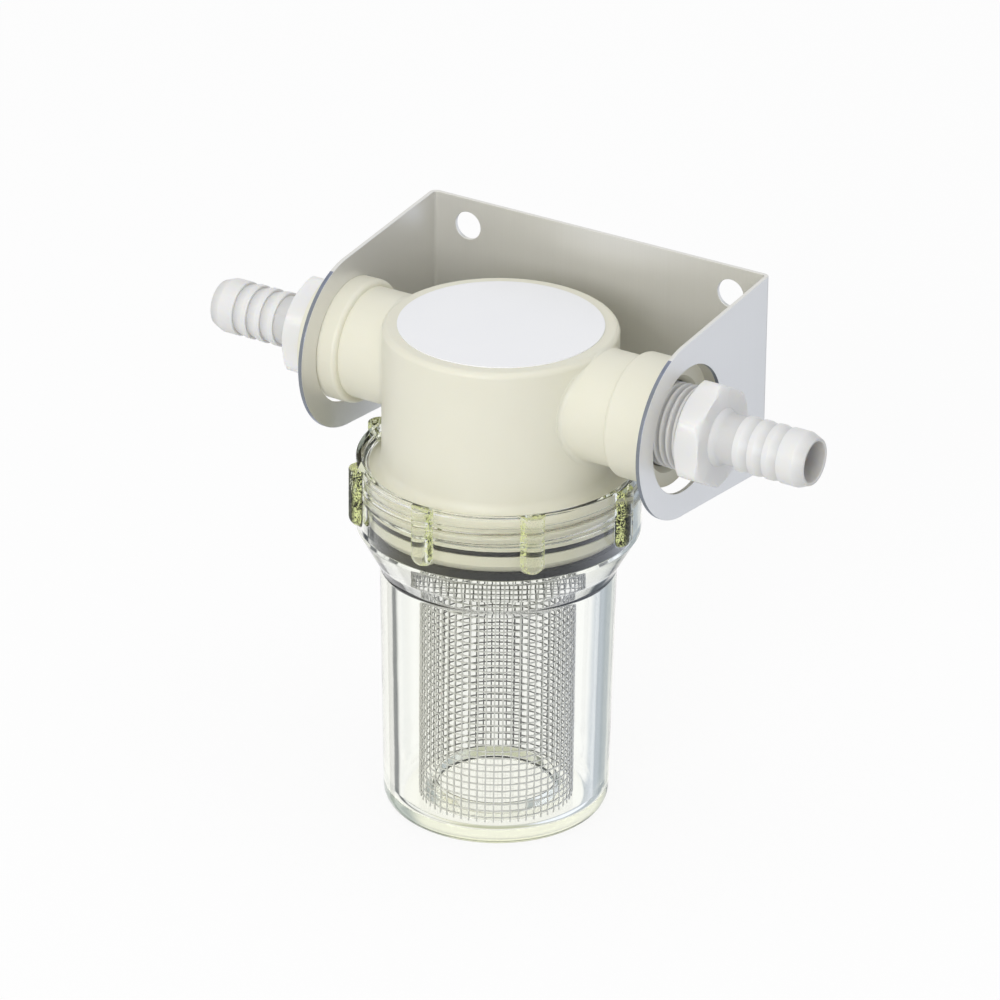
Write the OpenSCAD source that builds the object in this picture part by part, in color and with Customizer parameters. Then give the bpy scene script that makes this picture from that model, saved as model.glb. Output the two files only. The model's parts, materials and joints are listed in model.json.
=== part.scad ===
// In-line fresh water strainer: a moulded head with two ports, a clear bowl that screws on from
// below round a wire screen, two hose barbs, and a folded sheet bracket that screws to a wall.
// Millimetres, +Z up, +Y towards the wall. The origin is midway between the two wall screw holes,
// on the bracket's back face.

/* [Head] */
// Radius of the head's round body
head_r = 29; // [26:0.5:32]
// How far the head's flat top lies above the necks of its ports
top_rise = 0.05; // [0.05:0.05:6]
// Rounding of the head's top edge
head_edge = 1.5; // [0.5:0.25:3]
// Thickness of the head's outer wall
head_wall = 3.2; // [2.5:0.1:4]
// Depth of the body's plain side below the port axis
head_side = 20.3; // [19:0.1:22]
// Distance from the port axis to the lower end of the head
head_foot = 37.2; // [36:0.1:40]
// Height of the bevel round the head's lower end
foot_bevel_h = 1.9; // [1:0.1:2.5]
// Width of the bevel round the head's lower end
foot_bevel_w = 1.3; // [0.5:0.1:2]
// How far the head's inlet tube stands out over the screen that butts on it
core_step = 0.9; // [0.6:0.1:1.1]
// Thickness of the wall of the tube's nose that enters the screen
nose_wall = 1.75; // [1.5:0.25:3]
// Length of the tube's nose
core_nose = 3.6; // [2:0.2:5]

/* [Ports] */
// Thickness of a port's wall round its threaded socket
port_wall = 3.33; // [2.5:0.01:4]
// How far the collar at a port's mouth stands out of the neck
collar_rise = 1.65; // [1.3:0.05:2]
// Length of the collar at a port's mouth
collar_len = 10.8; // [8:0.2:14]
// Rounding of the collar's shoulder
collar_round = 1.2; // [0.5:0.1:1.3]
// Length of a port outside the head's round body
port_len = 20; // [18:0.5:22]
// Depth of the threaded socket in a port
socket_depth = 16; // [15:0.5:18]
// Radius of the water way behind the socket
way_r = 8; // [6:0.25:9]
// Width of the bevel at the socket's mouth
socket_bevel = 1.4; // [0.5:0.1:2]

/* [Screw joint] */
// Largest radius of the head's thread
thread_r = 32.9; // [32.5:0.1:33.5]
// Depth of the thread
thread_deep = 1.2; // [0.8:0.1:1.4]
// Gap between the head's thread and the bowl's
thread_gap = 0.35; // [0.25:0.05:0.4]
// Height of the shoulder above the thread
shoulder_h = 1; // [0.5:0.1:1.5]
// Thickness of the round seal's section
oring_d = 1.4; // [1:0.1:1.6]
// Distance from the head's lower end to the middle of the round seal
oring_up = 5.15; // [4.5:0.05:5.3]
// Gap between the round seal and the bowl
oring_gap = 0.2; // [0.1:0.05:0.3]
// Height of the solid rim between the round seal's groove and the thread
groove_rim = 1.2; // [1:0.1:1.6]

/* [Gasket] */
// Thickness of the flat gasket
gasket_h = 2; // [1.5:0.1:4]
// Width of the flat gasket's ring
gasket_w = 4.3; // [3:0.1:5]

/* [Bowl] */
// Thickness of the bowl's screwed skirt at the bottom of its thread
skirt_wall = 1.95; // [1.5:0.05:2.5]
// How far the skirt's rim stands above the head's shoulder
skirt_lip = 3.4; // [2.8:0.1:3.6]
// How far above the ledge the bowl's shoulder cone starts
cone_lead = 0.3; // [0:0.1:1]
// Height of the bowl's shoulder cone
cone_h = 10.6; // [8:0.1:12]
// Outer radius of the bowl below its shoulder cone
bowl_r = 29.3; // [28.5:0.1:30.5]
// How much narrower the bowl is at its floor than below the cone
bowl_draft = 1.2; // [0:0.1:2]
// Thickness of the bowl's wall
bowl_wall = 3.7; // [2.5:0.1:4.2]
// Distance from the port axis down to the bottom of the bowl
bowl_foot = 115.7; // [100:0.1:125]
// Thickness of the bowl's floor
floor_h = 3.5; // [2.5:0.1:5]
// Outer rounding at the bowl's bottom edge
foot_round = 4.5; // [2:0.25:5]
// Inner rounding at the bowl's floor
floor_round = 3; // [1:0.25:4]
// Bevel inside the skirt's rim
mouth_bevel = 0.7; // [0.4:0.1:1]
// How much lower the shoulder cone ends inside the bowl than outside
cone_lag = 1.4; // [0:0.1:1.6]
// Width of the ledge that the flat gasket lies on
ledge_w = 3.65; // [3:0.05:4.2]
// Number of grip ribs round the skirt
rib_count = 8; // [6:1:12]
// Half width of a grip rib
rib_r = 3; // [2:0.1:3.5]
// How far a grip rib stands out of the skirt
rib_out = 2.6; // [1.5:0.1:2.7]
// Height of a grip rib
rib_h = 15.7; // [12:0.1:18]

/* [Screen] */
// Outer radius of the wire screen
screen_r = 19.4; // [18.5:0.05:19.5]
// Thickness of the screen's wall
screen_wall = 0.8; // [0.5:0.05:0.9]
// Number of window columns round the screen, an even number
screen_columns = 24; // [16:4:24]
// Number of window rows in the screen
screen_rows = 5; // [3:1:5]
// Width of the bars between the screen's windows
screen_bar = 1.1; // [0.8:0.1:2]
// Height of the plain bands at the screen's two ends
screen_hem = 3; // [2:0.25:4]
// Radial gap between the screen and what guides it inside
screen_gap = 0.85; // [0.2:0.05:1]
// Height of the ring on the bowl's floor that centres the screen
seat_h = 3.5; // [2:0.25:5]
// Width of the ring on the bowl's floor
seat_w = 2.9; // [2:0.1:4]
// Gap between the screen's upper end and the head
screen_play = 0.4; // [0.3:0.05:1]

/* [Hose fittings] */
// Radius of the tapered pipe thread next to the hexagon
pipe_r = 10.67; // [10.4:0.01:10.7]
// Length of the pipe thread
pipe_len = 15; // [12:0.5:15.5]
// How far the inlet fitting stands out of its port
inlet_out = 0.3; // [0:0.1:5]
// How far the outlet fitting stands out of its port
outlet_out = 7; // [5:0.5:9]
// Radial gap between a pipe thread and its socket
pipe_gap = 0.05; // [0.02:0.01:0.1]
// Width of the hexagon across its flats
hex_flats = 24; // [22.5:0.5:26]
// Thickness of the hexagon
hex_h = 6.6; // [5:0.1:8]
// Height of the bevel at the hexagon's corners
hex_bevel = 1.05; // [0.5:0.05:2]
// Length of the plain shank behind the barbs
shank_len = 6.4; // [5:0.1:9]
// Radius of the plain shank
shank_r = 6.2; // [6:0.05:6.6]
// Radius of a barb's crest
barb_r = 6.92; // [6.7:0.01:7.2]
// Distance from one barb to the next
barb_pitch = 4; // [3.5:0.1:5]
// Number of short barbs
barb_count = 3; // [2:1:4]
// Length of the straight land on a short barb
barb_land = 1.4; // [0.8:0.1:2]
// Length of the straight land on the last barb
land_len = 4.2; // [3:0.1:5]
// Length of the cone at the fitting's tip
tip_len = 2.8; // [2:0.1:4]
// Thickness of the wall at the fitting's tip
tip_wall = 0.75; // [0.4:0.05:1]
// Radius of the fitting's bore
fitting_bore_r = 5.07; // [4.6:0.01:5.2]

/* [Bracket] */
// How far the ears' outer faces would lie inside the ports' mouths if the bracket weren't slid
ear_inset = 0.5; // [0:0.1:1]
// Height of the bracket's back
bracket_h = 51.9; // [48:0.5:56]
// Thickness of the sheet
sheet = 1.05; // [0.8:0.05:1.2]
// Inside radius of the bends
bend_r = 0.9; // [0.6:0.1:2]
// Gap between the bowl's grip ribs and the bracket's back
wall_gap = 0.35; // [0.3:0.05:6]
// Width of the sheet round the hole in an ear
ear_band = 6.5; // [5:0.1:8]
// Gap between the collar and the hole in an ear
ear_gap = 0.4; // [0.3:0.05:0.5]
// How far the bracket is slid towards the outlet
bracket_slide = 4.3; // [3:0.1:5]
// Distance between the two wall screw holes
hole_spacing = 75.5; // [70:0.5:80]
// Radius of a wall screw hole
hole_r = 3.65; // [2.5:0.05:4]
// Distance from the bracket's top edge down to the screw holes
hole_drop = 7.2; // [6:0.1:10]

/* [Label] */
// Width of the bare margin round the label
label_margin = 3.7; // [3.5:0.1:9]
// Thickness of the label
label_h = 0.25; // [0.15:0.05:0.4]

/* [Hidden] */
$fn = 96;
over = 1;                                     // how far a cutter runs past the face it cuts
hair = 0.03;                                  // an overlap too small to see
taper = 1 / 32;                               // a pipe thread's change of radius along its length
hex_r = hex_flats / 2 / cos(30);              // to the hexagon's corners
socket_r = pipe_r + pipe_gap;
port_r = socket_r + port_wall;
collar_r = port_r + collar_rise;
port_reach = head_r + port_len;               // from the bowl's axis to a port's mouth
head_top = port_r + top_rise;
neck_r = thread_r - thread_deep;              // the head under and below the thread
flare = thread_r - head_r;                    // hollow rounding from the body to the shoulder
shoulder_z = -head_side - flare;              // top of the shoulder's straight edge
bore_r = thread_r + thread_gap;               // the skirt's bore, at the bottom of its thread
skirt_r = bore_r + skirt_wall;
rim_z = shoulder_z + skirt_lip;
seal_r = neck_r + thread_gap;                // the narrower bore that the round seal works in
oring_mid_r = seal_r - oring_gap - oring_d / 2;
oring_z = -head_foot + oring_up;
ledge_z = -head_foot - gasket_h;
ledge_r = seal_r - ledge_w;
cone_top = ledge_z + cone_lead;
cone_foot = cone_top - cone_h;
thread_end = oring_z + oring_d / 2 + groove_rim; // where the thread's part of the skirt ends
floor_z = -bowl_foot + floor_h;
screen_bore_r = screen_r - screen_wall;
nose_r = screen_bore_r - screen_gap;          // the tube's nose and the floor's ring fit in the screen
core_r = screen_r + core_step;
core_bore_r = nose_r - nose_wall;
screen_top = -head_foot - screen_play;
screen_len = screen_top - floor_z;
rib_mid_r = skirt_r + rib_out - rib_r;
wall_off = skirt_r + rib_out + wall_gap + sheet; // from the ports' axis to the wall
bracket_w = 2 * (port_reach - ear_inset);
ear_hole_r = collar_r + ear_gap;
ear_r = ear_hole_r + ear_band;
bracket_z = -ear_gap;                         // the ears hang on the collars
hole_z = bracket_z + bracket_h / 2 - hole_drop;
cavity_r = head_r - head_wall;
roof_z = head_top - head_wall;

// Moves a piece from the strainer's own axes, the bowl's axis crossing the ports' axis, to the origin
module in_place() translate([-bracket_slide, -wall_off, -hole_z]) children();

// A bar along X from x0 to x1
module bar_x(r, x0, x1) translate([x0, 0, 0]) rotate([0, 90, 0]) cylinder(r = r, h = x1 - x0);

// Half section of the head's outside: body, hollow flare, shoulder, thread root and plain end
module head_section() {
    difference() {
        union() {
            square([head_r - head_edge, head_top]);
            square([head_r, head_top - head_edge]);
            translate([head_r - head_edge, head_top - head_edge]) circle(r = head_edge, $fn = 32);
            translate([0, shoulder_z]) square([head_r, -shoulder_z]);
            translate([0, shoulder_z]) square([thread_r, flare]);
            translate([0, shoulder_z - shoulder_h]) square([thread_r, shoulder_h]);
            polygon([[0, shoulder_z], [neck_r, shoulder_z], [neck_r, -head_foot + foot_bevel_h],
                [neck_r - foot_bevel_w, -head_foot], [0, -head_foot]]);
        }
        translate([thread_r, -head_side]) circle(r = flare);
        translate([oring_mid_r - oring_d / 2, oring_z - oring_d / 2]) square([flare + oring_d, oring_d]);
    }
}

// Turns a half section, drawn along X with its radius along Y, about the X axis
module turned_x() rotate([0, 90, 0]) rotate([0, 0, -90]) rotate_extrude() rotate(-90) mirror([1, 0]) children();

// One port: neck, collar with its rounded shoulder and, cut later, its socket
module port(side) mirror([side < 0 ? 1 : 0, 0, 0]) {
    bar_x(port_r, core_r, port_reach);
    translate([port_reach - collar_len, 0, 0]) turned_x() {
        square([collar_len, collar_r - collar_round]);
        translate([collar_round, 0]) square([collar_len - collar_round, collar_r]);
        translate([collar_round, collar_r - collar_round]) circle(r = collar_round, $fn = 32);
    }
}

// The threaded socket with its bevel
module socket(side) mirror([side < 0 ? 1 : 0, 0, 0]) {
    bar_x(socket_r, port_reach - socket_depth, port_reach + over);
    translate([port_reach - socket_bevel, 0, 0]) rotate([0, 90, 0])
        cylinder(r1 = socket_r, r2 = socket_r + socket_bevel + over, h = socket_bevel + over);
}

module head() color([0.89, 0.88, 0.80]) in_place() difference() {
    union() {
        difference() {
            union() {
                rotate_extrude() head_section();
                port(-1);
                port(1);
            }
            // The chamber that gathers the strained water and leads it to the outlet
            translate([0, 0, -head_foot - over]) difference() {
                cylinder(r = cavity_r, h = roof_z + head_foot + over);
                cylinder(r = core_r, h = roof_z + head_foot + over);
            }
        }
        // The inlet's way to the tube crosses the chamber, and the tube's nose enters the screen
        bar_x(way_r + head_wall, -head_r, -core_bore_r);
        translate([0, 0, -head_foot - core_nose]) cylinder(r = nose_r, h = core_nose + over);
    }
    translate([0, 0, -head_foot - core_nose - over])
        cylinder(r = core_bore_r, h = roof_z + head_foot + core_nose + over);
    socket(-1);
    socket(1);
    bar_x(way_r, -port_reach, 0);
    bar_x(way_r, core_r + over, port_reach);
}

module label() color([0.94, 0.945, 0.95]) in_place()
    translate([0, 0, head_top]) cylinder(r = head_r - label_margin, h = label_h);

// A square-cornered U with two round corners: w wide, its back at y = -inset, corners of radius r
module u_block(w, inset, r) {
    depth = wall_off + ear_r + over;
    translate([-w / 2, -depth]) square([w, depth - inset - r]);
    translate([-w / 2 + r, -depth]) square([w - 2 * r, depth - inset]);
    for (side = [-1, 1]) translate([side * (w / 2 - r), -inset - r]) circle(r = r, $fn = 48);
}

// The folded strip seen from above: the back, two bends and two ears, with the wall face at y = 0
module strip() difference() {
    u_block(bracket_w, 0, bend_r + sheet);
    u_block(bracket_w - 2 * sheet, sheet, bend_r);
}

// An ear seen from the side: a round nose whose tangents run back to the corners of the back
module ear_outline() {
    reach = wall_off - bend_r - sheet;
    inner_r = ear_r - hair;                   // so that line and round cross
    lean = atan2(bracket_h / 2, reach) + acos(inner_r / norm([reach, bracket_h / 2]));
    touch = [inner_r * cos(lean), inner_r * sin(lean)];
    circle(r = ear_r);
    polygon([[0, 0], [touch[0], -touch[1]], [reach, -bracket_h / 2], [wall_off + over, -bracket_h / 2],
        [wall_off + over, bracket_h / 2], [reach, bracket_h / 2], touch]);
}

module bracket() color([0.80, 0.82, 0.86]) translate([0, 0, bracket_z - hole_z]) difference() {
    intersection() {
        translate([0, 0, -bracket_h / 2]) linear_extrude(bracket_h) strip();
        translate([-bracket_w / 2 - over, -wall_off, 0]) rotate([90, 0, 90])
            linear_extrude(bracket_w + 2 * over) ear_outline();
    }
    translate([0, -wall_off, 0]) bar_x(ear_hole_r, -bracket_w / 2 - over, bracket_w / 2 + over);
    for (side = [-1, 1]) translate([side * hole_spacing / 2, over, bracket_h / 2 - hole_drop])
        rotate([90, 0, 0]) cylinder(r = hole_r, h = sheet + 2 * over);
}

// Half section of the barbs, turned about X: shank, short barbs, last barb with its land and tip
module barb_section() {
    barbs = shank_len + barb_count * barb_pitch;
    square([shank_len + over, shank_r]);
    for (i = [0 : barb_count - 1]) translate([shank_len + i * barb_pitch, 0])
        polygon([[0, 0], [0, barb_r], [barb_land, barb_r], [barb_pitch, shank_r], [barb_pitch, 0]]);
    translate([barbs, 0])
        polygon([[0, 0], [0, barb_r], [land_len, barb_r], [land_len + tip_len, fitting_bore_r + tip_wall],
            [land_len + tip_len, 0]]);
}

// A fitting along +X with the inner face of its hexagon at x = 0
module fitting() {
    whole = hex_h + shank_len + barb_count * barb_pitch + land_len + tip_len;
    difference() {
        union() {
            translate([-pipe_len, 0, 0]) rotate([0, 90, 0])
                cylinder(r1 = pipe_r - pipe_len * taper, r2 = pipe_r, h = pipe_len);
            intersection() {
                rotate([0, 90, 0]) cylinder(r = hex_r, h = hex_h, $fn = 6);
                union() {
                    bar_x(hex_r, hex_bevel, hex_h - hex_bevel);
                    rotate([0, 90, 0]) cylinder(r1 = hex_flats / 2, r2 = hex_r, h = hex_bevel);
                    translate([hex_h - hex_bevel, 0, 0]) rotate([0, 90, 0])
                        cylinder(r1 = hex_r, r2 = hex_flats / 2, h = hex_bevel);
                }
            }
            translate([hex_h, 0, 0]) turned_x() barb_section();
        }
        bar_x(fitting_bore_r, -pipe_len - over, whole + over);
    }
}

module inlet_fitting() color([0.87, 0.87, 0.86]) in_place()
    mirror([1, 0, 0]) translate([port_reach + inlet_out, 0, 0]) fitting();

module outlet_fitting() color([0.87, 0.87, 0.86]) in_place()
    translate([port_reach + outlet_out, 0, 0]) fitting();

module o_ring() color([0.12, 0.12, 0.12]) in_place() translate([0, 0, oring_z])
    rotate_extrude() translate([oring_mid_r, 0]) circle(r = oring_d / 2, $fn = 32);

module gasket() color([0.14, 0.14, 0.14]) in_place() translate([0, 0, ledge_z]) difference() {
    cylinder(r = neck_r, h = gasket_h);
    translate([0, 0, -over]) cylinder(r = neck_r - gasket_w, h = gasket_h + 2 * over);
}

module screen() color([0.75, 0.75, 0.73]) in_place() translate([0, 0, floor_z]) {
    row = (screen_len - 2 * screen_hem + screen_bar) / screen_rows;
    window = 2 * PI * screen_r / screen_columns - screen_bar;
    difference() {
        cylinder(r = screen_r, h = screen_len);
        translate([0, 0, -over]) cylinder(r = screen_bore_r, h = screen_len + 2 * over);
        for (i = [0 : screen_columns / 2 - 1], j = [0 : screen_rows - 1])
            rotate(i * 360 / screen_columns)
                translate([-screen_r - over, -window / 2, screen_hem + j * row])
                cube([2 * (screen_r + over), window, row - screen_bar]);
    }
}

// Half section of the bowl's outside
module bowl_outside() {
    foot_r = bowl_r - bowl_draft;
    polygon([[0, rim_z], [skirt_r, rim_z], [skirt_r, cone_top], [bowl_r, cone_foot],
        [foot_r, -bowl_foot + foot_round], [foot_r - foot_round, -bowl_foot], [0, -bowl_foot]]);
    translate([foot_r - foot_round, -bowl_foot + foot_round]) circle(r = foot_round, $fn = 64);
}

// Half section of the bowl's inside: thread bore, seal bore, ledge, cone and cup
module bowl_inside() {
    cup_r = bowl_r - bowl_wall;
    cup_foot_r = cup_r - bowl_draft;
    slope = (skirt_r - bowl_r) / cone_h;
    cone_start = cone_foot - cone_lag;
    cone_rise = (ledge_r - cup_r) / slope;
    mouth_r = bore_r + mouth_bevel;
    polygon([[0, rim_z + over], [mouth_r, rim_z + over], [mouth_r, rim_z],
        [bore_r, rim_z - mouth_bevel], [bore_r, thread_end + bore_r - seal_r], [seal_r, thread_end],
        [seal_r, ledge_z], [ledge_r, ledge_z], [ledge_r, cone_start + cone_rise], [cup_r, cone_start],
        [cup_foot_r, floor_z + floor_round], [cup_foot_r - floor_round, floor_z], [0, floor_z]]);
    translate([cup_foot_r - floor_round, floor_z + floor_round]) circle(r = floor_round, $fn = 64);
}

// A grip rib: a half round bar with a round lower end
module rib() translate([rib_mid_r, 0, 0]) {
    translate([0, 0, rim_z - rib_h + rib_r]) cylinder(r = rib_r, h = rib_h - rib_r, $fn = 48);
    translate([0, 0, rim_z - rib_h + rib_r]) sphere(r = rib_r, $fn = 48);
}

module bowl() color([0.86, 0.89, 0.72, 0.45]) in_place() {
    difference() {
        union() {
            rotate_extrude() bowl_outside();
            for (i = [0 : rib_count - 1]) rotate(i * 360 / rib_count) rib();
        }
        rotate_extrude() bowl_inside();
    }
    // The ring on the floor that centres the screen
    translate([0, 0, floor_z]) difference() {
        translate([0, 0, -floor_h / 2]) cylinder(r = nose_r, h = seat_h + floor_h / 2);
        translate([0, 0, -floor_h]) cylinder(r = nose_r - seat_w, h = seat_h + floor_h + over);
    }
}

head();
label();
bracket();
inlet_fitting();
outlet_fitting();
o_ring();
gasket();
screen();
bowl();
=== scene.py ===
"""The looks of an in-line fresh water strainer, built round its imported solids.

Lengths are millimetres on the strainer's own axes: x along the ports towards the outlet, y towards the wall,
z up, from the point where the bowl's axis crosses the ports' axis. in_place() takes them to the frame.
"""
import json
import math

import bmesh
import bpy
import numpy as np
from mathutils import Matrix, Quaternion, Vector


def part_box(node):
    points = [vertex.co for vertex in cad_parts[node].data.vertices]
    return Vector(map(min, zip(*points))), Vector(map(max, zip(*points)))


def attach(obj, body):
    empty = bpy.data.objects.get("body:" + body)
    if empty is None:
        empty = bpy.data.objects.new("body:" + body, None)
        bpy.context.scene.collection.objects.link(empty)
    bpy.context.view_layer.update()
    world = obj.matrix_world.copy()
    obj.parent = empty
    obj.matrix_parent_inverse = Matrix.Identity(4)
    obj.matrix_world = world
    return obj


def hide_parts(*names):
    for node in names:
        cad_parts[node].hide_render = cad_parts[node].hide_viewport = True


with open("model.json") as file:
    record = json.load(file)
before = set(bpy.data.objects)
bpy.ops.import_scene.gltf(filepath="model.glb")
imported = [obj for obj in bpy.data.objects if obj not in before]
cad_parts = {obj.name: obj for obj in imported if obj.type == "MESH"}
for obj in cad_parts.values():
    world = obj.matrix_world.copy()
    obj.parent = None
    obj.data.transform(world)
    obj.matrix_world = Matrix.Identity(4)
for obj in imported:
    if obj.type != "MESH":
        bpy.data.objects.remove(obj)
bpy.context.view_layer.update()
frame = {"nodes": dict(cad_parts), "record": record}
nodes = frame["nodes"]
mounts = {m["name"]: m["pos_m"] for m in frame["record"]["mounts"]}
crossing = np.array([mounts["bowl_base"][0], mounts["bowl_base"][1], mounts["inlet_barb"][2]])


def in_place(points):
    """Strainer millimetres to frame metres: a thousandth, moved to where the two axes cross."""
    return np.asarray(points) / 1000 + crossing


def low_corner(node):
    """A solid's lowest corner in strainer millimetres."""
    return (np.array(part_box(node)[0]) - crossing) * 1000


def high_corner(node):
    """A solid's highest corner in strainer millimetres."""
    return (np.array(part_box(node)[1]) - crossing) * 1000


# The studio
# A pale floor under the bowl, a white surround, two broad soft lamps, and grey flags that give the clear
# plastic its dark lines. The camera stands where the photograph was taken from.
scene = bpy.context.scene
scene.view_settings.view_transform = "Standard"

azimuth = math.radians(31.547)
elevation = math.radians(25.823)
roll = math.radians(0.646)
camera_far = 1.715
picture_focus = 6.981  # focal length as a multiple of the picture's width
aim = in_place([0.256, 0, -33.144])

camera_data = bpy.data.cameras.new("camera")
camera_data.lens = picture_focus * camera_data.sensor_width
camera_data.clip_start = 0.1
camera_data.clip_end = 20
camera = bpy.data.objects.new("camera", camera_data)
scene.collection.objects.link(camera)
back = Vector((math.sin(azimuth) * math.cos(elevation), -math.cos(azimuth) * math.cos(elevation),
               math.sin(elevation)))
camera.location = Vector(aim) + back * camera_far
camera.rotation_mode = "QUATERNION"
camera.rotation_quaternion = (-back).to_track_quat("-Z", "Y") @ Quaternion((0, 0, 1), roll)
scene.camera = camera


def feed(tree, value, socket):
    """Gives an input socket a number or a colour, or joins it to the output that value is."""
    if isinstance(value, bpy.types.NodeSocket):
        tree.links.new(value, socket)
    else:
        socket.default_value = value


def add(tree, kind, **values):
    """A new node of a kind in a tree, with what feeds its input sockets by name."""
    node = tree.nodes.new(kind)
    for name, value in values.items():
        feed(tree, value, node.inputs[name.replace("_", " ")])
    return node


def worked(tree, operation, first, second):
    """The result of a math operation on two values."""
    node = tree.nodes.new("ShaderNodeMath")
    node.operation = operation
    feed(tree, first, node.inputs[0])
    feed(tree, second, node.inputs[1])
    return node.outputs[0]


def ramp(tree, value, **limits):
    """A value taken from one range to another, 0 to 1 unless the limits say so, and held at both ends."""
    return add(tree, "ShaderNodeMapRange", Value=value, **limits).outputs["Result"]


def facing(tree, direction, towards):
    """How far a direction points towards another, from -1 to 1."""
    dot = tree.nodes.new("ShaderNodeVectorMath")
    dot.operation = "DOT_PRODUCT"
    feed(tree, direction, dot.inputs[0])
    feed(tree, towards, dot.inputs[1])
    return dot.outputs["Value"]


def blend(tree, share, low, high):
    """The colour between two others: low at share 0, high at 1."""
    mix = tree.nodes.new("ShaderNodeMix")
    mix.data_type = "RGBA"
    feed(tree, low, mix.inputs["A"])
    feed(tree, high, mix.inputs["B"])
    feed(tree, share, mix.inputs["Factor"])
    return mix.outputs["Result"]


def mixed(tree, share, first, second):
    """The shader between two others: the first at share 0, the second at 1."""
    mix = tree.nodes.new("ShaderNodeMixShader")
    feed(tree, share, mix.inputs["Fac"])
    feed(tree, first.outputs[0], mix.inputs[1])
    feed(tree, second.outputs[0], mix.inputs[2])
    return mix


# The surround that gloss and clear plastic see, by compass angle: 0 and 1 are towards the camera, 0.25 is
# to its left, 0.5 is behind the strainer and 0.75 to its right. The shades are linear.
flags = (
    (0.0, (0.58, 0.59, 0.60)), (0.10, (0.66, 0.66, 0.60)), (0.13, (0.80, 0.79, 0.66)),
    (0.24, (0.86, 0.85, 0.72)), (0.30, (0.92, 0.93, 0.93)), (0.352, (0.92, 0.93, 0.95)),
    (0.358, (0.10, 0.11, 0.12)), (0.384, (0.10, 0.11, 0.12)), (0.392, (0.97, 0.97, 0.97)),
    (0.42, (1.0, 1.0, 1.0)), (0.545, (1.0, 1.0, 1.0)), (0.560, (0.44, 0.49, 0.54)),
    (0.632, (0.44, 0.49, 0.54)), (0.652, (1.0, 1.05, 1.20)), (0.76, (1.0, 1.05, 1.20)),
    (0.84, (0.62, 0.65, 0.70)), (0.92, (0.60, 0.62, 0.65)), (1.0, (0.58, 0.59, 0.60)))
straight_below = (0.56, 0.58, 0.45, 1)

world = bpy.data.worlds.new("surround")
scene.world = world
world.use_nodes = True
surround = world.node_tree
surround.nodes.clear()
way = surround.nodes.new("ShaderNodeTexCoord").outputs["Generated"]
to_left = facing(surround, way, (-math.cos(azimuth), -math.sin(azimuth), 0))
to_camera = facing(surround, way, (math.sin(azimuth), -math.cos(azimuth), 0))
turn = worked(surround, "ARCTAN2", to_left, to_camera)
turn = worked(surround, "FLOORED_MODULO", turn, 2 * math.pi)
compass = ramp(surround, turn, From_Min=0.0, From_Max=2 * math.pi)
shades = add(surround, "ShaderNodeValToRGB", Fac=compass)
for place, shade in flags[1:-1]:
    shades.color_ramp.elements.new(place).color = (*shade, 1)
shades.color_ramp.elements[0].color = (*flags[0][1], 1)
shades.color_ramp.elements[-1].color = (*flags[-1][1], 1)
height = ramp(surround, facing(surround, way, (0, 0, 1)), From_Min=-0.96, From_Max=-0.90)
seen = blend(surround, height, straight_below, shades.outputs["Color"])

# The camera sees white. A glossy or refracted ray sees the flags, unless it has met a matt surface on its
# way: such a ray and every other one get an even glow.
rays = surround.nodes.new("ShaderNodeLightPath").outputs
sharp_rays = worked(surround, "MAXIMUM", rays["Is Glossy Ray"], rays["Is Transmission Ray"])
undimmed = worked(surround, "LESS_THAN", rays["Diffuse Depth"], 0.5)
seen_sharp = worked(surround, "MULTIPLY", sharp_rays, undimmed)
glow = add(surround, "ShaderNodeBackground", Color=(0.99, 0.99, 1.0, 1), Strength=0.68)
shown = add(surround, "ShaderNodeBackground", Color=(1, 1, 1, 1), Strength=1.0)
glossed = add(surround, "ShaderNodeBackground", Color=seen, Strength=1.0)
from_glass = mixed(surround, seen_sharp, glow, glossed)
from_camera = mixed(surround, rays["Is Camera Ray"], from_glass, shown)
add(surround, "ShaderNodeOutputWorld", Surface=from_camera.outputs[0])


def soft_lamp(name, place, size, power):
    """A square area lamp at a place in metres, facing the strainer, and not seen through clear plastic."""
    data = bpy.data.lights.new(name, "AREA")
    data.size = size
    data.energy = power
    lamp = bpy.data.objects.new(name, data)
    lamp.location = place
    lamp.visible_transmission = False
    lamp.rotation_mode = "QUATERNION"
    lamp.rotation_quaternion = (Vector(aim) - Vector(place)).to_track_quat("-Z", "Y")
    scene.collection.objects.link(lamp)


soft_lamp("key_lamp", (0.25, -1.85, 0.55), 0.9, 14)
soft_lamp("top_lamp", (0.3, -0.1, 1.7), 1.2, 4)

floor_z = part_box("bowl")[0].z
floor_half = 3.0
floor_mesh = bpy.data.meshes.new("floor")
floor_mesh.from_pydata([(-floor_half, -floor_half, floor_z), (floor_half, -floor_half, floor_z),
                        (floor_half, floor_half, floor_z), (-floor_half, floor_half, floor_z)], [],
                       [(0, 1, 2, 3)])
floor = bpy.data.objects.new("floor", floor_mesh)
scene.collection.objects.link(floor)
# Gloss and clear plastic look past the floor at the surround
floor.visible_glossy = False
floor.visible_transmission = False
floor_paint = bpy.data.materials.new("floor_paint")
floor_paint.use_nodes = True
tree = floor_paint.node_tree
tree.nodes.clear()
matt = add(tree, "ShaderNodeBsdfDiffuse", Color=(0.70, 0.70, 0.70, 1))
pale = add(tree, "ShaderNodeBsdfDiffuse", Color=(1, 1, 1, 1))
white = add(tree, "ShaderNodeEmission", Color=(1, 1, 1, 1), Strength=1.0)
floor_rays = tree.nodes.new("ShaderNodeLightPath").outputs
painted = mixed(tree, floor_rays["Is Camera Ray"], matt, mixed(tree, 0.88, pale, white))
add(tree, "ShaderNodeOutputMaterial", Surface=painted.outputs[0])
floor_mesh.materials.append(floor_paint)


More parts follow.
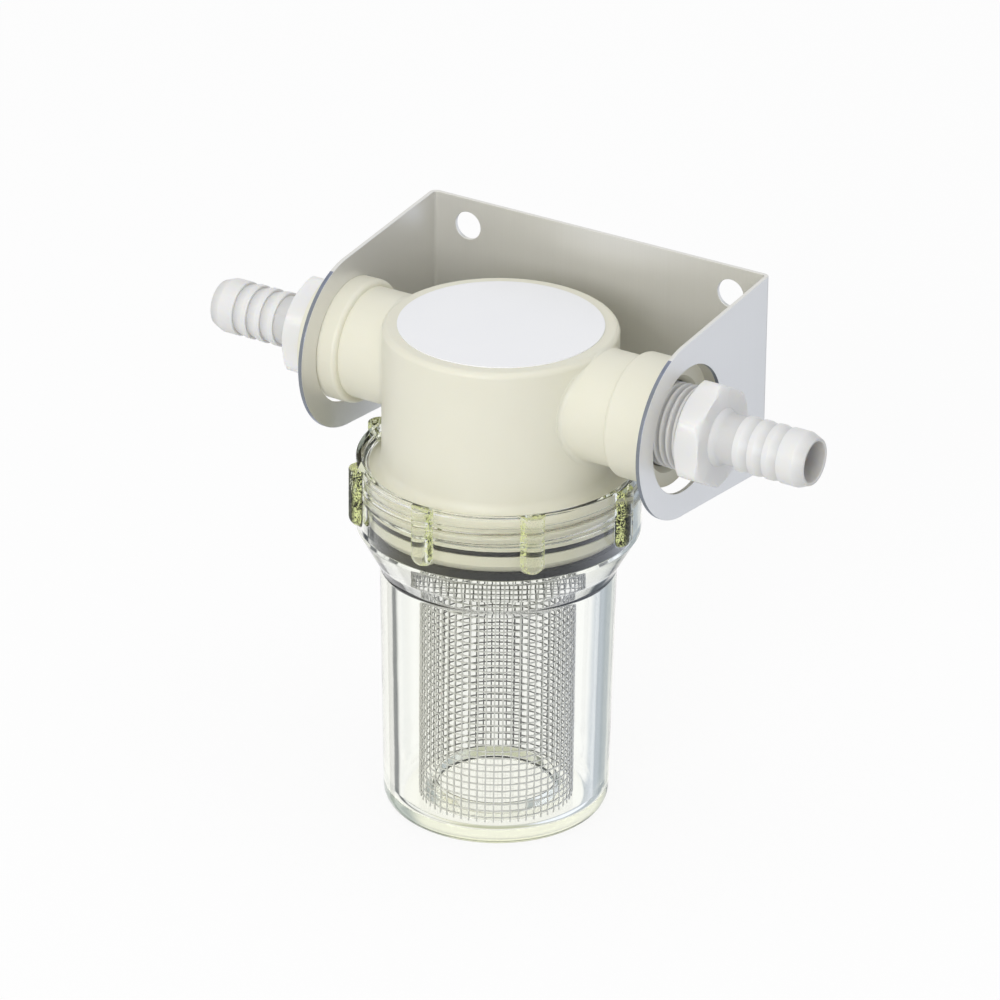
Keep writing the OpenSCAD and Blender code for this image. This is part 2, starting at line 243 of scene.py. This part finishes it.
# The head
# One cream nylon moulding: the round body, two collared ports and the threaded neck. The solid stays; the
# soft hollow where each port grows out of the body and the screw thread on the neck are laid on it here.
head_r = 29.0
head_edge = 1.5
label_thick = 0.25
head_top = high_corner("label")[2] - label_thick
port_r = 14.05


def linear(red, green, blue):
    """The scene colour of a picture colour of 0 to 255: each share through the sRGB curve."""
    share = np.array([red, green, blue]) / 255
    low, high = share / 12.92, ((share + 0.055) / 1.055) ** 2.4
    return (*np.where(share <= 0.04045, low, high), 1.0)


def new_finish(name, **values):
    """A material, its node tree, its principled shader with some values set, and object coordinates."""
    finish = bpy.data.materials.new(name)
    finish.use_nodes = True
    tree = finish.node_tree
    shader = tree.nodes["Principled BSDF"]
    for socket, value in values.items():
        feed(tree, value, shader.inputs[socket.replace("_", " ")])
    place = tree.nodes.new("ShaderNodeTexCoord").outputs["Object"]
    return finish, tree, shader, place


def mottle(tree, shader, place, light, dark, grain):
    """Base colour between two shades by a soft noise of grain lumps a metre."""
    noise = add(tree, "ShaderNodeTexNoise", Vector=place, Scale=grain, Detail=3.0)
    feed(tree, blend(tree, noise.outputs["Fac"], dark, light), shader.inputs["Base Color"])


def raised(tree, shader, height, depth):
    """A bump by a height from 0 to 1, depth metres deep."""
    bump = add(tree, "ShaderNodeBump", Strength=1.0, Distance=depth, Height=height)
    feed(tree, bump.outputs["Normal"], shader.inputs["Normal"])


def pitted(tree, shader, place, grain, depth):
    """A fine bump of a noise of grain lumps a metre, depth metres deep."""
    noise = add(tree, "ShaderNodeTexNoise", Vector=place, Scale=grain, Detail=2.0)
    raised(tree, shader, noise.outputs["Fac"], depth)


def moulded_nylon(name, clearness):
    """Satin nylon without its colour: a clearer or denser body, and the mould's faint spark erosion."""
    finish, tree, shader, place = new_finish(
        name, Roughness=0.42, IOR=1.5, Subsurface_Weight=clearness,
        Subsurface_Radius=(0.0022, 0.0018, 0.0012), Subsurface_Scale=1.0)
    pitted(tree, shader, place, 2600.0, 0.000012)
    return finish, tree, shader, place


def wear(node, finish):
    """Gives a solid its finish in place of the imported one."""
    mesh = nodes[node].data
    mesh.materials.clear()
    mesh.materials.append(finish)


def placed(name, mesh, body):
    """A new piece from a mesh, on the body that it moves with."""
    piece = bpy.data.objects.new(name, mesh)
    scene.collection.objects.link(piece)
    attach(piece, body)
    return piece


def moulded(name, points, closed_rows, body, finish, sharp=40, painted_relief_shade=None):
    """A piece from a grid of points in strainer millimetres: each row is a closed loop round the piece, and
    the last row joins the first where closed_rows is set. Rows of no width close to a point. The last
    argument, if given, is a painted shade for each point, from 0, darkest, in a thread's root to 1,
    lightest, on a crest."""
    rows, columns = points.shape[:2]
    index = np.arange(rows * columns).reshape(rows, columns)
    near = index if closed_rows else index[:-1]
    far = np.roll(index, -1, axis=0) if closed_rows else index[1:]
    faces = np.stack([near, np.roll(near, -1, axis=1), np.roll(far, -1, axis=1), far], axis=-1)
    mesh = bpy.data.meshes.new(name)
    mesh.from_pydata(in_place(points).reshape(-1, 3), [], faces.reshape(-1, 4).tolist())
    if painted_relief_shade is not None:
        mesh.attributes.new("painted_relief_shade", "FLOAT", "POINT").data.foreach_set("value", painted_relief_shade.ravel())
    shape = bmesh.new()
    shape.from_mesh(mesh)
    bmesh.ops.remove_doubles(shape, verts=shape.verts, dist=1e-7)
    bmesh.ops.recalc_face_normals(shape, faces=shape.faces)
    shape.to_mesh(mesh)
    shape.free()
    mesh.shade_smooth()
    mesh.set_sharp_from_angle(angle=math.radians(sharp))
    mesh.materials.append(finish)
    return placed(name, mesh, body)


cream, tree, shader, place = moulded_nylon("cream_nylon", 0.12)
mottle(tree, shader, place, linear(232, 230, 214), linear(228, 226, 208), 90.0)
wear("head", cream)

hollow_r = 1.5  # radius of the hollow between a port's neck and the body
hollow_rim = 0.1  # how far the hollow's outer edge stands off the body
hollow_fade = 4.0  # depth over which the hollow runs out below the head's top edge
hollow_least = 0.02  # the ball's least size, as a share, so that every row keeps a width
hollow_apron = 0.08  # how far the edge runs on over the body, as a share of the hollow's width
body_tuck = 0.95  # how far out the hollow's closed back lies, as a share of the body's radius
neck_tuck = 0.93  # and as a share of the neck's
hollow_rows = 240
hollow_steps = 12


def port_hollow(side):
    """The rolling-ball hollow round one neck. The ball's centre lies one ball off both round faces, and the
    ball shrinks to nothing at the head's top edge. Each row is the arc from where the ball touches the body
    to where it touches the neck, closed behind inside the wall."""
    lean = np.linspace(0, 2 * np.pi, hollow_rows, endpoint=False)[:, None]
    share = np.clip((head_top - head_edge - port_r * np.cos(lean)) / hollow_fade, hollow_least, 1)
    ball = hollow_r * share * (2 - share)
    y = (port_r + ball) * np.sin(lean)
    z = (port_r + ball) * np.cos(lean)
    x = np.sqrt((head_r + ball) ** 2 - y ** 2)
    centre = np.stack([x, y, z], -1)
    ball = ball[:, :, None]
    shrink = head_r / (head_r + ball)
    narrow = port_r / (port_r + ball)
    on_body = centre * np.concatenate([shrink, shrink, np.ones_like(shrink)], -1)
    on_neck = centre * np.concatenate([np.ones_like(narrow), narrow, narrow], -1)
    a, b = (on_body - centre) / ball, (on_neck - centre) / ball
    angle = np.arccos(np.clip((a * b).sum(-1, keepdims=True), -1, 1))
    along = np.linspace(0, 1, hollow_steps)[None, :, None]
    arc = (np.sin((1 - along) * angle) * a + np.sin(along * angle) * b) / np.sin(angle)
    skin = centre + arc * ball
    lift = hollow_rim * ball / hollow_r * (1 - along) ** 3
    skin = skin - lift * a
    edge = on_body + (on_body - on_neck) * hollow_apron
    in_body = on_body * (body_tuck, body_tuck, 1)
    in_neck = on_neck * (1, neck_tuck, neck_tuck)
    return np.concatenate([in_body, edge, skin, in_neck], 1) * (side, 1, 1)


for side, end in ((-1, "inlet"), (1, "outlet")):
    moulded(f"{end}_port_hollow", port_hollow(side), True, "head", cream)

thread_r = 32.9  # over the crests of the head's thread
neck_r = 31.7
thread_sunk = 0.05  # how far the thread's roots lie under the neck's skin
thread_pitch = 4.0
thread_top = -25.2
thread_end = -30.15
ridge_middle = -27.0  # height of the head's ridge at lean 0
ridge_flat = 0.35
ridge_foot = 1.0
thread_columns = 240


def ridge(z, lean, middle):
    """A right-hand thread's height from 0 to 1 at height z and angle lean: 1 within ridge_flat of the
    ridge's middle line, which climbs one pitch a turn, and 0 beyond ridge_foot, with a cosine between."""
    off = (z - middle - thread_pitch * lean / (2 * np.pi)) / thread_pitch
    off = np.abs(off - np.round(off)) * thread_pitch
    share = np.clip((off - ridge_flat) / (ridge_foot - ridge_flat), 0, 1)
    return (1 + np.cos(np.pi * share)) / 2


def fade(z, low, high, run):
    """1 between two heights and 0 beyond them, over a run at each end."""
    share = np.clip(np.minimum(z - low, high - z) / run, 0, 1)
    return share * share * (3 - 2 * share)


lean = np.linspace(0, 2 * np.pi, thread_columns, endpoint=False)[None, :]
z = np.linspace(thread_top + 0.2, thread_end, 60)[:, None]
crest = ridge(z, lean, ridge_middle) * fade(z, thread_end, thread_top, 0.5)
r = neck_r - thread_sunk + (thread_r - neck_r) * crest
z = z + 0 * lean
outer = np.stack([r * np.cos(lean), r * np.sin(lean), z], -1)
inner = np.stack([(neck_r - 1) * np.cos(lean), (neck_r - 1) * np.sin(lean)], -1)
inner = np.concatenate([inner, z[:1, :, None]], -1), np.concatenate([inner, z[-1:, :, None]], -1)
moulded("head_thread", np.concatenate([inner[0], outer, inner[1]]), True, "head", cream)


# The label
# A round white film on the head's flat top. It is bare: its print is left off.
film, tree, shader, place = new_finish("label_film", Roughness=0.32, Coat_Weight=0.3, Coat_Roughness=0.15)
mottle(tree, shader, place, linear(246, 247, 249), linear(243, 244, 247), 60.0)
pitted(tree, shader, place, 1500.0, 0.000006)
wear("label", film)


# The wall bracket
# One strip of thin steel sheet, folded twice: a back with two screw holes and two ears that hang on the
# ports' collars. The faces are brushed upwards, and the cut edges are broken.
bracket_edge = 0.14
bend_room = 0.004  # metres off the wall within which no edge counts as an ear's front edge
least_forward = 0.35  # least share of a front edge's normal that points away from the wall
most_across = 0.3  # most share of it that points along the ports


def brushed_sheet(name):
    """Brushed steel: streaks that run along z, in the colour, the roughness and a fine bump."""
    finish, tree, shader, place = new_finish(name, Metallic=0.6)
    stretch = add(tree, "ShaderNodeMapping", Vector=place, Scale=(3200, 3200, 22))
    noise = add(tree, "ShaderNodeTexNoise", Vector=stretch.outputs["Vector"], Scale=1.0, Detail=4.0)
    streaks = noise.outputs["Fac"]
    shade = blend(tree, streaks, linear(224, 223, 218), linear(229, 228, 224))
    feed(tree, shade, shader.inputs["Base Color"])
    feed(tree, ramp(tree, streaks, To_Min=0.37, To_Max=0.43), shader.inputs["Roughness"])
    raised(tree, shader, streaks, 0.0000006)
    return finish


steel = brushed_sheet("brushed_steel")
# A darker, bluer steel for the ears' front edges: a painted reflection of the surround
edge_reflection, tree, shader, place = new_finish("edge_painted_reflection", Metallic=0.9, Roughness=0.3)
mottle(tree, shader, place, linear(150, 156, 172), linear(132, 138, 156), 900.0)
pitted(tree, shader, place, 3000.0, 0.000004)
bracket_mesh = nodes["bracket"].data.copy()
bracket_mesh.name = "folded_bracket"
shape = bmesh.new()
shape.from_mesh(bracket_mesh)
bmesh.ops.remove_doubles(shape, verts=shape.verts, dist=2e-6)
bmesh.ops.dissolve_limit(shape, angle_limit=math.radians(0.5), verts=shape.verts, edges=shape.edges)
shape.to_mesh(bracket_mesh)
shape.free()
bracket_mesh.materials.clear()
bracket_mesh.materials.append(steel)
bracket_mesh.materials.append(edge_reflection)
# The ears' front edges get that steel: a painted reflection, darker and bluer than the brushed faces
normals = np.empty(len(bracket_mesh.polygons) * 3)
bracket_mesh.polygons.foreach_get("normal", normals)
middles = np.empty(len(bracket_mesh.polygons) * 3)
bracket_mesh.polygons.foreach_get("center", middles)
forward, across = -normals[1::3], np.abs(normals[0::3])
off_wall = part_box("bracket")[1][1] - middles[1::3]
front_edge = (forward > least_forward) & (across < most_across) & (off_wall > bend_room)
bracket_mesh.polygons.foreach_set("material_index", front_edge.astype(int))
bracket = placed("folded_bracket", bracket_mesh, "head")
broken = bracket.modifiers.new("broken_edges", "BEVEL")
broken.width = bracket_edge / 1000
broken.segments = 2
broken.limit_method = "ANGLE"
broken.angle_limit = math.radians(50)
broken.harden_normals = True
bracket_mesh.shade_smooth()
bracket_mesh.set_sharp_from_angle(angle=math.radians(30))
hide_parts("bracket")


# The hose fittings
# Two moulded white nylon tails with a taper pipe thread, a hexagon with turned-back corners, three short
# barbs and a long one. Each screws into its port, the outlet's less far than the inlet's.
fitting_columns = 96
pipe_len = 15.0
pipe_r = 10.67
pipe_taper = 1 / 32
pipe_pitch = 1.8
pipe_deep = 0.95
pipe_rows = 118
flank_slope = 1.7
root_width = 0.2
lead_in = 1.2  # length over which the pipe thread rises at its open end
run_out = 0.25  # height at which the pipe thread starts beside the hexagon
hex_half = 12.0
hex_corner = hex_half / math.cos(math.pi / 6)
hex_blunt = 0.3  # how far the hexagon's corners are cut back all along
hex_len = 6.6
hex_bevel = 1.05
shank_len = 6.4
shank_r = 6.2
shank_flare = 1.1
flare_len = 1.6
barb_r = 6.92
barb_pitch = 4.0
barb_land = 1.4
land_len = 4.2
tip_len = 2.8
tip_wall = 0.75
bore_r = 5.07
whole_len = hex_len + shank_len + 3 * barb_pitch + land_len + tip_len


def rounded(corners, steps=5, hold=0.15):
    """A profile through corners (across, along, rounding). Each corner with a rounding becomes an arc that
    touches both its lines, with one more point hold before it and one after, which keep the lines flat."""
    corners = np.array(corners, float)
    out = [corners[:1, :2]]
    for before, corner, after in zip(corners[:-2], corners[1:-1], corners[2:]):
        if corner[2] == 0:
            out.append(corner[None, :2])
            continue
        u = before[:2] - corner[:2]
        v = after[:2] - corner[:2]
        reach = min(np.linalg.norm(u), np.linalg.norm(v))
        u, v = u / np.linalg.norm(u), v / np.linalg.norm(v)
        half = math.acos(np.clip(u @ v, -1, 1)) / 2
        run = corner[2] / math.tan(half)
        centre = corner[:2] + (u + v) / np.linalg.norm(u + v) * corner[2] / math.sin(half)
        first, last = corner[:2] + u * run - centre, corner[:2] + v * run - centre
        share = np.linspace(0, 1, steps)[:, None]
        sweep = math.pi - 2 * half
        arc = centre + (np.sin((1 - share) * sweep) * first + np.sin(share * sweep) * last) / math.sin(sweep)
        stay = min(hold, (reach - run) / 2)
        out += [corner[None, :2] + u * (run + stay), arc, corner[None, :2] + v * (run + stay)]
    out.append(corners[-1:, :2])
    return np.concatenate(out)


def hose_fitting(tip_x, side):
    """One fitting with its tip at tip_x, pointing to side: a radius for each place along it and each angle
    about it, and a painted shade for each point, dark in the thread's roots, lighter up the barbs and
    lightest on the hexagon's corners. The thread is a ridge that climbs one pitch a turn, and the hexagon
    is six flats cut back by a cone at each end."""
    lean = np.linspace(0, 2 * np.pi, fitting_columns, endpoint=False)[None, :]
    face_x = tip_x - side * whole_len
    along = np.linspace(-pipe_len, -0.05, pipe_rows)[:, None]
    off = (side * along + face_x) / pipe_pitch - lean / (2 * np.pi)
    off = np.abs(off - np.round(off)) * 2
    crest = np.clip((1 - off) * flank_slope - root_width, 0, 1)
    crest = crest * np.clip((along + pipe_len) / lead_in, 0, 1) ** 0.5 * np.clip(run_out - along, 0, 1)
    pipe = pipe_r + along * pipe_taper - pipe_deep * (1 - crest)
    flat = hex_half / np.cos((lean + np.pi / 6) % (np.pi / 3) - np.pi / 6)
    cut = np.array([0, 0.3, 0.6, hex_bevel])[:, None]
    cone = hex_half + (hex_corner - hex_half) * cut / hex_bevel
    near = np.minimum(np.minimum(flat, cone), hex_corner - hex_blunt)
    hexagon_x = np.concatenate([cut, hex_len - cut[::-1]])
    hexagon = np.concatenate([near, near[::-1]])
    shape = [(shank_r + shank_flare, hex_len, 0), (shank_r, hex_len + flare_len, 1.4),
             (shank_r, hex_len + shank_len, 0)]
    for i in range(3):
        start = hex_len + shank_len + i * barb_pitch
        shape += [(barb_r, start, 0.05), (barb_r, start + barb_land, 0.5), (shank_r, start + barb_pitch, 0)]
    start = hex_len + shank_len + 3 * barb_pitch
    shape += [(barb_r, start, 0.05), (barb_r, start + land_len, 0.6),
              (bore_r + tip_wall, whole_len, 0.3), (bore_r, whole_len, 0.3), (bore_r, -pipe_len, 0)]
    tail = rounded(shape)
    spread = np.ones_like(lean)
    x = np.concatenate([along, hexagon_x, tail[:, 1:]]) * spread
    r = np.concatenate([pipe, hexagon, tail[:, :1] * spread])
    edges = (hexagon - hex_half) / (hex_corner - hex_half)
    barbs = np.clip((tail[:, :1] - shank_r) / (barb_r - shank_r), 0, 1) * spread
    # Painted shade: dark in the pipe thread's roots, lighter on the barbs' crests than on the shank, and
    # light on the hexagon, most of all at its corners
    painted_relief_shade = np.concatenate([0.15 + 0.45 * crest, 0.9 + 0.1 * edges, 0.55 + 0.3 * barbs])
    return np.stack([face_x + side * x, r * np.cos(lean), r * np.sin(lean)], -1), painted_relief_shade


def shaded_by(tree, shader, attribute, low, high):
    """Base colour from one shade to another, by a point attribute from 0 to 1."""
    value = tree.nodes.new("ShaderNodeAttribute")
    value.attribute_name = attribute
    feed(tree, blend(tree, value.outputs["Fac"], low, high), shader.inputs["Base Color"])


# White nylon, its colour running from a painted shade in the thread's roots to a painted highlight on crests
# and corners
white_nylon, tree, shader, place = moulded_nylon("white_nylon", 0.5)
shaded_by(tree, shader, "painted_relief_shade", linear(170, 170, 169), linear(238, 238, 237))
for node, tip_x, side in (("inlet_fitting", low_corner("inlet_fitting")[0], -1),
                          ("outlet_fitting", high_corner("outlet_fitting")[0], 1)):
    shape, painted_relief_shade = hose_fitting(tip_x, side)
    name = node.replace("fitting", "hose_tail")
    tail = moulded(name, shape, True, "head", white_nylon, 32, painted_relief_shade)
    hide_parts(node)


# The seals
# A black rubber ring in the neck's groove, and the flat black gasket that lies on the bowl's ledge.
rubber, tree, shader, place = new_finish("black_rubber", Roughness=0.55, Specular_IOR_Level=0.3)
mottle(tree, shader, place, linear(36, 36, 37), linear(27, 27, 28), 700.0)
pitted(tree, shader, place, 2400.0, 0.00002)
wear("o_ring", rubber)
wear("gasket", rubber)


# The screen
# A tube of plain-woven steel wire, open at both ends, that stands round the ring on the bowl's floor. Each
# upright passes in front of one hoop and behind the next.
wire_r = 0.19
upright_count = 60
hoop_gap = 1.84
wire_sides = 6
wire_steps = 4  # along a wire, between one crossing and the next
screen_foot = low_corner("screen")[2]
screen_high = high_corner("screen")[2]
wave = 0.4 * wire_r  # how far a wire swings to each side as it passes the crossing ones
screen_mid_r = high_corner("screen")[0] - wire_r - wave
hoop_count = int((screen_high - screen_foot) / hoop_gap)
first_hoop = screen_foot + (screen_high - screen_foot - (hoop_count - 1) * hoop_gap) / 2

# Drawn wire, with painted shade in its colour: bright on the tube's outer side and dull on its inner side,
# where the tube shades itself
wire, tree, shader, place = new_finish("drawn_wire", Metallic=0.4, Roughness=0.38)
pitted(tree, shader, place, 5000.0, 0.000004)
shaded_by(tree, shader, "painted_outer_light", linear(118, 118, 118), linear(246, 246, 246))


def wires(name, paths, across, closed):
    """Round wires along many paths at once. paths is wires by points by 3, across the unit vectors square to
    each wire that its section starts from, and the other section axis is square to both."""
    along = np.roll(paths, -1, axis=1) - np.roll(paths, 1, axis=1)
    if not closed:
        along[:, 0] = paths[:, 1] - paths[:, 0]
        along[:, -1] = paths[:, -1] - paths[:, -2]
    along /= np.linalg.norm(along, axis=-1, keepdims=True)
    third = np.cross(along, across)
    third /= np.linalg.norm(third, axis=-1, keepdims=True)
    first = np.cross(third, along)
    turn = np.linspace(0, 2 * np.pi, wire_sides, endpoint=False)
    section = np.cos(turn)[:, None] * first[:, :, None] + np.sin(turn)[:, None] * third[:, :, None]
    points = paths[:, :, None] + wire_r * section
    count, length = points.shape[:2]
    index = np.arange(count * length * wire_sides).reshape(count, length, wire_sides)
    near = index if closed else index[:, :-1]
    far = np.roll(index, -1, axis=1) if closed else index[:, 1:]
    faces = np.stack([near, np.roll(near, -1, axis=2), np.roll(far, -1, axis=2), far], -1).reshape(-1, 4)
    ends = [] if closed else index[:, 0, ::-1].tolist() + index[:, -1].tolist()
    mesh = bpy.data.meshes.new(name)
    mesh.from_pydata(in_place(points).reshape(-1, 3), [], faces.tolist() + ends)
    # Painted shade for each point: 1 on the outer side of a wire's section, 0 on its inner side
    outer = mesh.attributes.new("painted_outer_light", "FLOAT", "POINT")
    outer.data.foreach_set("value", np.tile((1 + np.cos(turn)) / 2, count * length))
    mesh.shade_smooth()
    mesh.set_sharp_from_angle(angle=math.radians(75))
    mesh.materials.append(wire)
    return placed(name, mesh, "insert")


number = np.arange(upright_count)[:, None]
lean = number * 2 * np.pi / upright_count
z = np.linspace(screen_foot, screen_high, int((screen_high - screen_foot) / hoop_gap * wire_steps))[None, :]
r = screen_mid_r + wave * np.cos(np.pi * (z - first_hoop) / hoop_gap + np.pi * number)
paths = np.stack([r * np.cos(lean), r * np.sin(lean), z + 0 * lean], -1)
outwards = np.stack([np.cos(lean), np.sin(lean), 0 * lean], -1) + 0 * paths
uprights = wires("screen_uprights", paths, outwards, False)
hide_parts("screen")

lean = np.linspace(0, 2 * np.pi, upright_count * wire_steps, endpoint=False)[None, :]
number = np.arange(hoop_count)[:, None]
r = screen_mid_r - wave * np.cos(upright_count / 2 * lean + np.pi * number)
paths = np.stack([r * np.cos(lean), r * np.sin(lean), first_hoop + number * hoop_gap + 0 * lean], -1)
outwards = np.stack([np.cos(lean), np.sin(lean), 0 * lean], -1) + 0 * paths
wires("screen_hoops", paths, outwards, True)


# The bowl
# One clear moulding, a little yellow-green in the thick: a skirt with eight grip ribs and an inner thread,
# a shoulder cone, and a cup with the ring on its floor that the screen stands round.
rim_z = high_corner("bowl")[2]
foot_z = low_corner("bowl")[2]
skirt_r = 35.2
cone_top_z = -38.9
cone_foot_z = -49.5
cup_r = 29.3
cup_draft = 1.2
cup_wall = 3.7
cup_floor = 3.5
foot_round = 4.5
floor_round = 3.0
cone_round = 3.0  # at the cone's foot, inside and outside
ledge_r = 28.4
ledge_z = -39.2
sleeve_r = 33.25  # bottom of the skirt's thread
seal_r = 32.05
mouth_bevel = 0.7
mouth_len = 0.9  # height of the plain mouth over the thread in the skirt
thread_step = 0.11  # height between two rows of points on the skirt's thread
cone_lag = 1.4
ring_r = 17.75
ring_w = 2.9
ring_h = 3.5
ring_lead = 2.4  # how far the ring's outer side leans in, to lead the screen on
rib_count = 8
rib_r = 3.0
rib_mid_r = 34.8
rib_len = 15.7
rib_half_angle = 5.6  # degrees from a rib's middle to where its columns of points end

# Angles: close together over each rib, wider between
half_rib = np.linspace(-rib_half_angle, rib_half_angle, 23)
between = np.linspace(rib_half_angle, 360 / rib_count - rib_half_angle, 28)[1:-1]
lean = np.radians(np.concatenate([i * 360 / rib_count + np.concatenate([half_rib, between])
                                  for i in range(rib_count)]))[None, :]

floor_top = foot_z + cup_floor
slope = (skirt_r - cup_r) / (cone_top_z - cone_foot_z)
inner_r = cup_r - cup_wall
inner_cone_z = cone_foot_z - cone_lag
inside = rounded([
    (0, floor_top, 0), (ring_r - ring_w, floor_top, 0.4), (ring_r - ring_w, floor_top + ring_h, 0.3),
    (ring_r - ring_lead, floor_top + ring_h, 0.3), (ring_r, floor_top, 0.4),
    (inner_r - cup_draft, floor_top, floor_round), (inner_r, inner_cone_z, cone_round),
    (ledge_r, inner_cone_z + (ledge_r - inner_r) / slope, 0.4),
    (ledge_r, ledge_z, 0.25), (seal_r, ledge_z, 0.25), (seal_r, thread_end - 0.4, 0)], 7)
sleeve = rounded([(seal_r, thread_end - 0.2, 0), (seal_r, thread_end, 0.2),
                  (sleeve_r, thread_end + sleeve_r - seal_r, 0.3), (sleeve_r, rim_z - mouth_bevel, 0.25),
                  (sleeve_r + mouth_bevel, rim_z, 0.2), (skirt_r - 0.9, rim_z, 0)], 4, 0.08)
extra_z = np.arange(thread_end + 0.6, rim_z - mouth_len, thread_step)
low_part = sleeve[:, 1] < rim_z - mouth_len - 0.05
extra = np.stack([np.interp(extra_z, sleeve[low_part, 1], sleeve[low_part, 0]), extra_z], -1)
lower = np.concatenate([sleeve[low_part], extra])
sleeve = np.concatenate([lower[np.argsort(lower[:, 1], kind="stable")], sleeve[~low_part]])

outside = rounded([
    (skirt_r - 0.8, rim_z, 0), (skirt_r, rim_z, 0.35), (skirt_r, cone_top_z, 0.6),
    (cup_r, cone_foot_z, cone_round), (cup_r - cup_draft, foot_z, foot_round), (0, foot_z, 0)], 9)
rib_foot_z = rim_z - rib_len + rib_r
turn = np.linspace(0, np.pi / 2, 13)[1:]
extra_z = np.concatenate([rim_z - np.linspace(0.9, rib_len - rib_r, 6), rib_foot_z - rib_r * np.sin(turn)])
straight = (outside[:, 1] < rim_z - 0.5) & (outside[:, 1] > cone_top_z)
extra = np.stack([np.full_like(extra_z, skirt_r), extra_z], -1)
skirt = np.concatenate([outside[straight], extra])
start = np.flatnonzero(straight)[0]
outside = np.concatenate([outside[:start], skirt[np.argsort(-skirt[:, 1], kind="stable")],
                          outside[start + straight.sum():]])

profile = np.concatenate([inside, sleeve, outside])
r = profile[:, :1] + 0 * lean
z = profile[:, 1:] + 0 * lean
inner_rows = len(inside) + len(sleeve)
crest = ridge(z, lean, ridge_middle + thread_pitch / 2) * fade(z, thread_end + 0.4, rim_z - mouth_len, 1.2)
r[len(inside):inner_rows] -= ((sleeve_r - seal_r) * crest)[len(inside):inner_rows]
# A rib is a half-round bar with a round lower end, met by a ray from the axis at this radius
off_rib = (lean + np.pi / rib_count) % (2 * np.pi / rib_count) - np.pi / rib_count
drop = np.clip(rib_foot_z - z, 0, rib_r)
bar_r = np.sqrt(rib_r ** 2 - drop ** 2)
gone = np.maximum(bar_r ** 2 - (rib_mid_r * np.sin(off_rib)) ** 2, 0)
over_rib = (gone > 0) & (z > rib_foot_z - rib_r)
stand = np.where(over_rib, rib_mid_r * np.cos(off_rib) + np.sqrt(gone) - skirt_r, 0)
stand = np.maximum(stand, 0)
r[inner_rows + 1:] += stand[inner_rows + 1:] * (z[inner_rows + 1:] > cone_top_z)


def clear_plastic(name):
    """Clear polished plastic: a smooth refracting skin, and a body that drinks blue first, then red."""
    finish, tree, shader, place = new_finish(name, Transmission_Weight=1.0, Roughness=0.0, IOR=1.5,
                                             Base_Color=(1, 1, 1, 1))
    ripple = add(tree, "ShaderNodeTexNoise", Vector=place, Scale=60.0, Detail=1.0)
    raised(tree, shader, ripple.outputs["Fac"], 0.00004)
    # Painted glints on the ribs: yellow-green spots of a lit diffuse colour, close on the flanks and sparse
    # on the crown
    from_axis = add(tree, "ShaderNodeMapping", Vector=place, Location=(-crossing[0], -crossing[1], 0),
                    Scale=(1, 1, 0))
    length = tree.nodes.new("ShaderNodeVectorMath")
    length.operation = "LENGTH"
    feed(tree, from_axis.outputs["Vector"], length.inputs[0])
    reach = length.outputs["Value"]
    on_rib = ramp(tree, reach, From_Min=(skirt_r + 0.05) / 1000, From_Max=(skirt_r + 0.3) / 1000)
    flank = ramp(tree, reach, From_Min=(skirt_r + 1.6) / 1000, From_Max=(skirt_r + 2.3) / 1000, To_Min=1.0,
                 To_Max=0.12)
    glint_noise = add(tree, "ShaderNodeTexNoise", Vector=place, Scale=1300.0, Detail=2.0, Roughness=0.6,
                 Distortion=2.0)
    glint_spots = ramp(tree, glint_noise.outputs["Fac"], From_Min=0.49, From_Max=0.54)
    glint_share = worked(tree, "MULTIPLY", worked(tree, "MULTIPLY", on_rib, flank), glint_spots)
    # Painted glint: a lit yellow-green diffuse colour set into the clear plastic
    painted_glint = add(tree, "ShaderNodeBsdfDiffuse", Color=(0.72, 0.77, 0.36, 1))
    glinting_skin = mixed(tree, glint_share, shader, painted_glint)
    # Most light leaves straight through the underside, so the thick floor doesn't trap it
    height = add(tree, "ShaderNodeSeparateXYZ", Vector=place).outputs["Z"]
    bottom = in_place([0, 0, foot_z])[2]
    below = ramp(tree, height, From_Min=bottom + 0.00002, From_Max=bottom + 0.0002, To_Min=0.7, To_Max=0.0)
    open_skin = add(tree, "ShaderNodeBsdfTransparent", Color=(0.97, 0.97, 0.92, 1))
    skin = mixed(tree, below, glinting_skin, open_skin)
    # Lamps reach what the bowl holds
    path = tree.nodes.new("ShaderNodeLightPath")
    film = add(tree, "ShaderNodeBsdfTransparent", Color=(0.82, 0.82, 0.77, 1))
    let_through = mixed(tree, path.outputs["Is Shadow Ray"], skin, film)
    body = add(tree, "ShaderNodeVolumeAbsorption", Color=(0.88, 0.91, 0.50, 1), Density=16.0)
    output = tree.nodes["Material Output"]
    feed(tree, let_through.outputs[0], output.inputs["Surface"])
    feed(tree, body.outputs["Volume"], output.inputs["Volume"])
    return finish


clear = clear_plastic("clear_bowl_plastic")
points = np.stack([r * np.cos(lean), r * np.sin(lean), z], -1)
clear_bowl = moulded("clear_bowl", points, False, "bowl", clear, 180)
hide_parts("bowl")


def corners(box):
    return [list(corner) for corner in box]
